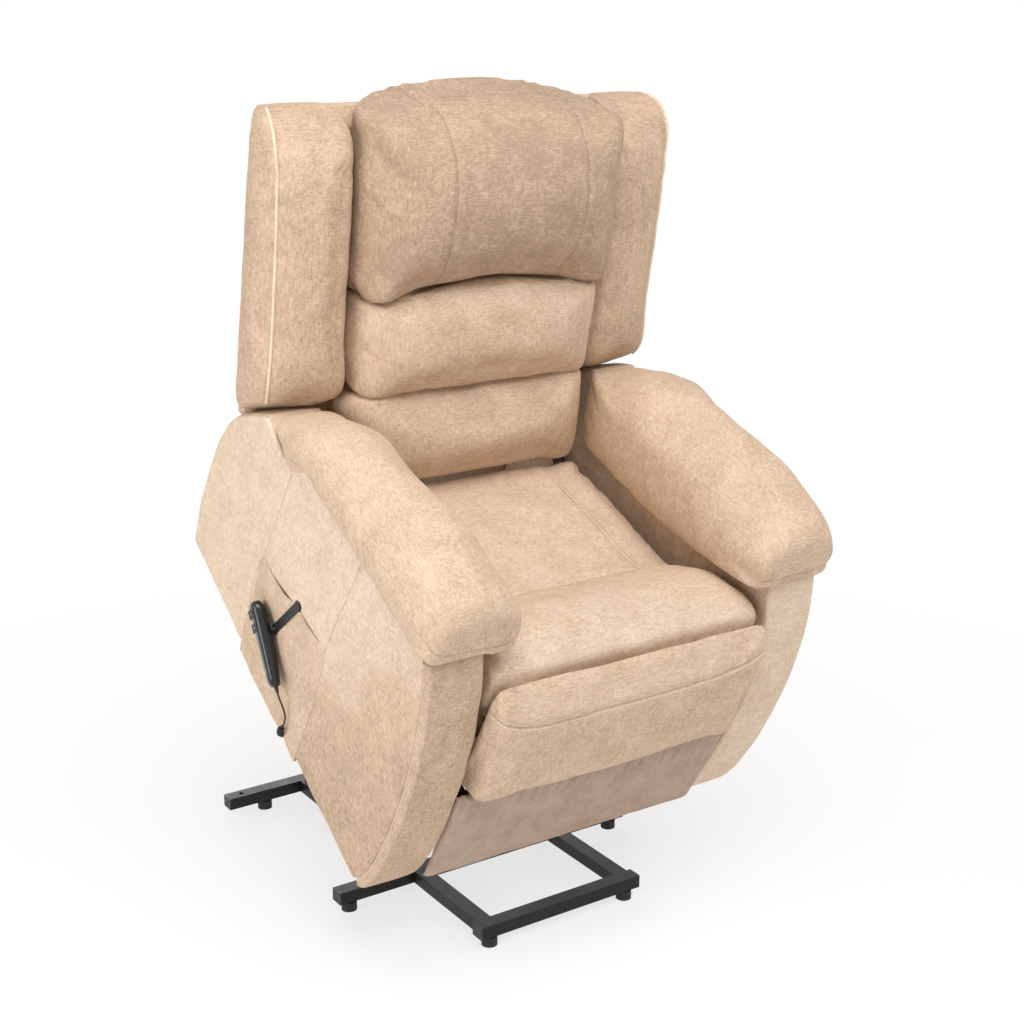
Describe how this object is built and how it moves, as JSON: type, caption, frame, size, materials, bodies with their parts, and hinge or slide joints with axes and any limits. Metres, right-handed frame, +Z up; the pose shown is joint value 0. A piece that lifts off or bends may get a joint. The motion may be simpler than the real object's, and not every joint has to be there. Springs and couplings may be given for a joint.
{
  "type": "power lift recliner",
  "caption": "Power lift recliner shown raised: padded winged back in three sections, pillow arms, folding legrest, lift frame with links and motors, and a corded handset in the side pocket.",
  "frame": {"origin": "on the floor, under the middle of the bounding box of the whole chair as it stands raised", "axes": "+X to the sitter's left, -Y the way the sitter faces, +Z up"},
  "size_m": [0.877, 1.0201, 1.5348],
  "materials": {
    "bare_steel": "zinc plated",
    "black_plastic": "satin",
    "black_steel": "satin powder coat",
    "cord_sheath": "satin",
    "covered_board": "woven chenille over board",
    "foot_plastic": "matt",
    "grey_plastic": "satin",
    "plywood": "raw",
    "skirt_fabric": "smooth suede-like cloth",
    "stuffed_fabric": "woven chenille over foam"
  },
  "bodies": {
    "floor_frame": {"base_rear_bar": "black_steel", "base_middle_bar": "black_steel", "base_front_bar": "black_steel", "base_rails": "black_steel", "tube_end_caps": "black_plastic", "feet": "foot_plastic", "base_link_brackets": "black_steel", "lift_motor_clevis": "black_steel", "base_pivot_bolts": "bare_steel"},
    "lift_arms": {"lift_arm_left": "black_steel", "lift_arm_right": "black_steel", "lift_arm_tube": "black_steel"},
    "front_links": {"front_links": "black_steel"},
    "lift_motor": {"lift_motor": "black_plastic"},
    "lift_motor_rod": {"lift_motor_rod": "bare_steel"},
    "chair": {"frame_rails": "black_steel", "frame_cross_tubes": "black_steel", "frame_link_brackets": "black_steel", "frame_pivot_bolts": "bare_steel", "mechanism_plates": "black_steel", "seat_frame": "plywood", "seat_springs": "bare_steel", "seat_cushion": "stuffed_fabric", "arm_box_left": "plywood", "arm_box_right": "plywood", "side_cover_left": "covered_board", "side_cover_right": "covered_board", "side_pocket": "covered_board", "arm_front_left": "covered_board", "arm_front_right": "covered_board", "arm_pad_left": "stuffed_fabric", "arm_pad_right": "stuffed_fabric", "front_skirt": "skirt_fabric", "rear_panel": "covered_board", "control_box": "black_plastic", "handset": "black_plastic", "handset_hook": "black_plastic", "handset_cord": "cord_sheath"},
    "backrest": {"back_frame": "plywood", "back_brackets": "black_steel", "back_cover": "covered_board", "wing_left": "stuffed_fabric", "wing_right": "stuffed_fabric", "head_cushion": "stuffed_fabric", "middle_cushion": "stuffed_fabric", "lumbar_cushion": "stuffed_fabric"},
    "legrest_drive": {"legrest_drive": "black_steel"},
    "legrest_rear_rockers": {"legrest_rear_rockers": "black_steel"},
    "legrest_carriers": {"legrest_carriers": "black_steel"},
    "legrest_control_links": {"legrest_control_links": "black_steel"},
    "legrest_panel": {"legrest_brackets": "black_steel", "legrest_board": "plywood", "legrest_pad": "stuffed_fabric"},
    "tail_links": {"tail_link": "black_steel"},
    "recline_motor": {"recline_motor": "black_plastic"},
    "recline_motor_rod": {"recline_motor_rod": "bare_steel"},
    "button_lift_up": {"button_lift_up": "grey_plastic"},
    "button_lift_down": {"button_lift_down": "grey_plastic"},
    "button_recline": {"button_recline": "grey_plastic"},
    "button_upright": {"button_upright": "grey_plastic"}
  },
  "joints": [
    {"name": "lift", "type": "hinge", "parent": "floor_frame", "child": "lift_arms", "pos_m": [0, 0.455, 0.11765], "axis": [1, 0, 0], "range_deg": [0, 21.84]},
    {"name": "chair_tip", "type": "hinge", "parent": "lift_arms", "child": "chair", "pos_m": [0, -0.0946, 0.29197], "axis": [1, 0, 0], "range_deg": [-51.87, 0]},
    {"name": "front_link_turn", "type": "hinge", "parent": "floor_frame", "child": "front_links", "pos_m": [0, 0.075, 0.12738], "axis": [1, 0, 0], "range_deg": [0, 34.96]},
    {"name": "lift_motor_turn", "type": "hinge", "parent": "floor_frame", "child": "lift_motor", "pos_m": [0, 0.455, 0.07], "axis": [1, 0, 0], "range_deg": [0, 20.44]},
    {"name": "lift_rod_slide", "type": "slide", "parent": "lift_motor", "child": "lift_motor_rod", "axis": [0, -0.8413, 0.5406], "range_m": [-0.12683, 0]},
    {"name": "recline", "type": "hinge", "parent": "chair", "child": "backrest", "pos_m": [0, 0.15896, 0.73281], "axis": [-1, 0, 0], "range_deg": [0, 35]},
    {"name": "legrest_drive_turn", "type": "hinge", "parent": "chair", "child": "legrest_drive", "pos_m": [0, -0.17973, 0.32942], "axis": [1, 0, 0], "range_deg": [0, 60.03]},
    {"name": "rear_rockers_turn", "type": "hinge", "parent": "chair", "child": "legrest_rear_rockers", "pos_m": [0, -0.06281, 0.39692], "axis": [1, 0, 0], "range_deg": [0, 60.03]},
    {"name": "carriers_turn", "type": "hinge", "parent": "legrest_drive", "child": "legrest_carriers", "pos_m": [0, -0.14633, 0.56709], "axis": [1, 0, 0], "range_deg": [-60.03, 0]},
    {"name": "legrest_board_turn", "type": "hinge", "parent": "legrest_carriers", "child": "legrest_panel", "pos_m": [0, -0.33121, 0.44981], "axis": [1, 0, 0], "range_deg": [-90.05, 0]},
    {"name": "control_links_turn", "type": "hinge", "parent": "legrest_drive", "child": "legrest_control_links", "pos_m": [0, -0.1799, 0.56568], "axis": [1, 0, 0], "range_deg": [-79.22, 0]},
    {"name": "tail_link_turn", "type": "hinge", "parent": "legrest_rear_rockers", "child": "tail_links", "pos_m": [0, -0.08429, 0.38621], "axis": [1, 0, 0], "range_deg": [-51.93, 0]},
    {"name": "recline_motor_turn", "type": "hinge", "parent": "chair", "child": "recline_motor", "pos_m": [0, 0.22763, 0.57385], "axis": [1, 0, 0], "range_deg": [0, 0.9092]},
    {"name": "recline_rod_slide", "type": "slide", "parent": "recline_motor", "child": "recline_motor_rod", "axis": [0, -0.9187, -0.395], "range_m": [0, 0.0689]},
    {"name": "button_lift_up_press", "type": "slide", "parent": "chair", "child": "button_lift_up", "axis": [0.9703, -0.215, 0.111], "range_m": [0, 0.001], "stiffness_N_per_m": 1500, "springref_m": -0.0004},
    {"name": "button_lift_down_press", "type": "slide", "parent": "chair", "child": "button_lift_down", "axis": [0.9703, -0.215, 0.111], "range_m": [0, 0.001], "stiffness_N_per_m": 1500, "springref_m": -0.0004},
    {"name": "button_recline_press", "type": "slide", "parent": "chair", "child": "button_recline", "axis": [0.9703, -0.215, 0.111], "range_m": [0, 0.001], "stiffness_N_per_m": 1500, "springref_m": -0.0004},
    {"name": "button_upright_press", "type": "slide", "parent": "chair", "child": "button_upright", "axis": [0.9703, -0.215, 0.111], "range_m": [0, 0.001], "stiffness_N_per_m": 1500, "springref_m": -0.0004}
  ],
  "couplings": [
    {"joint": "chair_tip", "follows": "lift", "ratio": -2.3736},
    {"joint": "front_link_turn", "follows": "lift", "ratio": 1.5998},
    {"joint": "lift_motor_turn", "follows": "lift", "ratio": 0.93557},
    {"joint": "lift_rod_slide", "follows": "lift", "m_per_rad": -0.33256},
    {"joint": "legrest_drive_turn", "follows": "recline", "ratio": 1.7143},
    {"joint": "rear_rockers_turn", "follows": "recline", "ratio": 1.7143},
    {"joint": "carriers_turn", "follows": "recline", "ratio": -1.7143},
    {"joint": "legrest_board_turn", "follows": "recline", "ratio": -2.5714},
    {"joint": "control_links_turn", "follows": "recline", "ratio": -2.2623},
    {"joint": "tail_link_turn", "follows": "recline", "ratio": -1.4829},
    {"joint": "recline_motor_turn", "follows": "recline", "ratio": 0.025964},
    {"joint": "recline_rod_slide", "follows": "recline", "m_per_rad": 0.11274}
  ]
}
